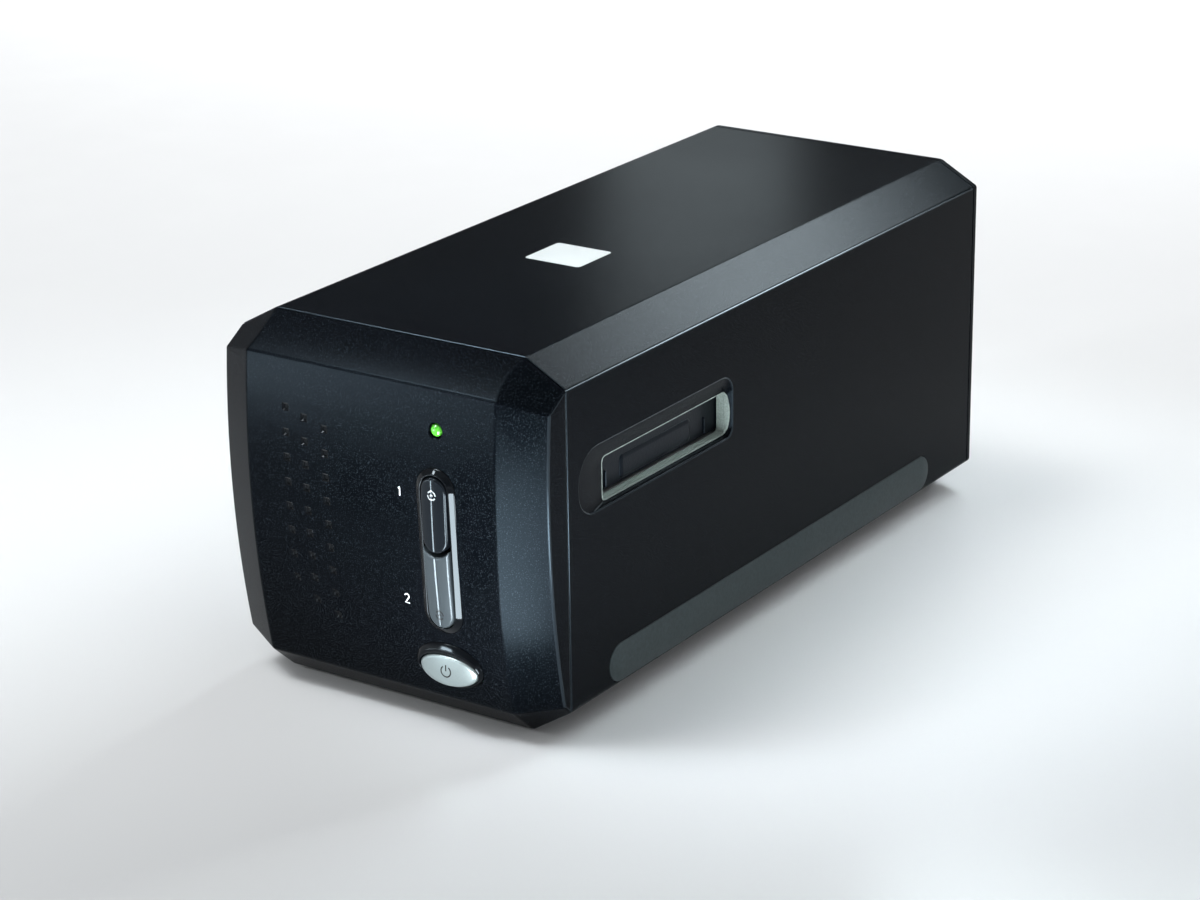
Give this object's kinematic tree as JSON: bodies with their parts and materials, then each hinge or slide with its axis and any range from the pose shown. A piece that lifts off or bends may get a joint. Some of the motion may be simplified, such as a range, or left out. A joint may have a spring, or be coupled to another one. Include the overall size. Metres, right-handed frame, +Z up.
{
  "type": "film negative scanner",
  "caption": "Long desktop film scanner: faceted dark housing, bowed front with scan and power buttons, film slot with dust doors in each side, moving optical carriage.",
  "frame": {"origin": "on the floor under the middle of the overall box, at the feet's undersides", "axes": "+Z up, -Y is the bowed front with the buttons, +X is the side nearer the buttons, Y runs along the body"},
  "size_m": [0.1216, 0.2742, 0.12],
  "materials": {
    "housing": "fine grained dark plastic",
    "gloss_black": "polished black plastic",
    "button_silver": "satin silver-grey lacquered plastic",
    "strip_rubber": "matt grey-green rubber",
    "foot_rubber": "matt black rubber",
    "lamp_green": "clear green lens",
    "label": "blank pale sticker",
    "board": "green circuit board",
    "frame_metal": "pressed sheet and die-cast parts",
    "steel": "ground and plated steel",
    "bronze": "sintered bronze",
    "white_plastic": "white moulded plastic",
    "belt": "dull black belt rubber",
    "mirror_glass": "front-silvered glass",
    "sensor": "ceramic sensor package",
    "ribbon": "flat grey lead"
  },
  "bodies": {
    "housing": {"front_bezel": "housing", "top_cover": "housing", "lower_housing": "housing", "rear_panel": "housing", "rubber_feet": "foot_rubber", "right_door_pin": "steel", "left_door_pin": "steel", "right_side_strip": "strip_rubber", "left_side_strip": "strip_rubber", "label_plate": "label", "scan_button_surround": "gloss_black", "power_button_surround": "gloss_black", "status_lamp": "lamp_green", "button_board": "board", "panel_switches": "sensor", "board_screws": "steel", "base_frame": "frame_metal", "guide_columns": "steel", "film_guide": "frame_metal", "lamp_housing": "white_plastic", "lamp_board": "white_plastic", "diffuser": "white_plastic", "left_guide_rod": "steel", "right_guide_rod": "steel", "stepper_motor": "steel", "idler_bracket": "frame_metal", "idler_pin": "steel", "drive_belt": "belt", "tension_spring": "steel", "main_board": "board", "board_columns": "steel", "connector_board": "board", "usb_socket": "steel", "power_socket": "gloss_black", "panel_ribbon": "ribbon", "frame_screws": "steel", "rear_screws": "steel"},
    "right_door": {"right_dust_door": "gloss_black", "right_door_spring": "steel"},
    "left_door": {"left_dust_door": "gloss_black", "left_door_spring": "steel"},
    "upper_scan_key": {"upper_scan_button": "button_silver"},
    "lower_scan_key": {"lower_scan_button": "button_silver"},
    "power_key": {"power_button": "button_silver"},
    "carriage": {"carriage_tray": "gloss_black", "fold_mirror": "mirror_glass", "lens_barrel": "gloss_black", "lens_clamp": "steel", "sensor_board": "board", "line_sensor": "sensor", "carriage_bushes": "bronze", "belt_clamp": "white_plastic"},
    "motor_drive": {"motor_shaft": "steel", "motor_pulley": "white_plastic"},
    "idler": {"idler_pulley": "white_plastic"}
  },
  "joints": [
    {"name": "right_door_hinge", "type": "hinge", "parent": "housing", "child": "right_door", "pos_m": [0.0523, -0.0622, 0.0862], "axis": [0, 1, 0], "range_deg": [0, 80], "stiffness_Nm_per_rad": 0.0015, "springref_deg": -11.46},
    {"name": "left_door_hinge", "type": "hinge", "parent": "housing", "child": "left_door", "pos_m": [-0.0523, -0.0622, 0.0862], "axis": [0, -1, 0], "range_deg": [0, 80], "stiffness_Nm_per_rad": 0.0015, "springref_deg": -11.46},
    {"name": "upper_scan_press", "type": "slide", "parent": "housing", "child": "upper_scan_key", "axis": [0, 1, 0], "range_m": [0, 0.0008], "stiffness_N_per_m": 800},
    {"name": "lower_scan_press", "type": "slide", "parent": "housing", "child": "lower_scan_key", "axis": [0, 1, 0], "range_m": [0, 0.0008], "stiffness_N_per_m": 800},
    {"name": "power_press", "type": "slide", "parent": "housing", "child": "power_key", "axis": [0, 1, 0], "range_m": [0, 0.0008], "stiffness_N_per_m": 800},
    {"name": "carriage_slide", "type": "slide", "parent": "housing", "child": "carriage", "axis": [0, -1, 0], "range_m": [0, 0.032]},
    {"name": "motor_turn", "type": "hinge", "parent": "housing", "child": "motor_drive", "pos_m": [0.0405, 0.105, 0.0375], "axis": [0, 0, 1], "range_deg": [0, 370]},
    {"name": "idler_turn", "type": "hinge", "parent": "housing", "child": "idler", "pos_m": [0.0405, -0.0989, 0.0375], "axis": [0, 0, 1], "range_deg": [0, 370]}
  ],
  "couplings": [
    {"joint": "motor_turn", "follows": "carriage_slide", "rad_per_m": 200},
    {"joint": "idler_turn", "follows": "carriage_slide", "rad_per_m": 200}
  ]
}
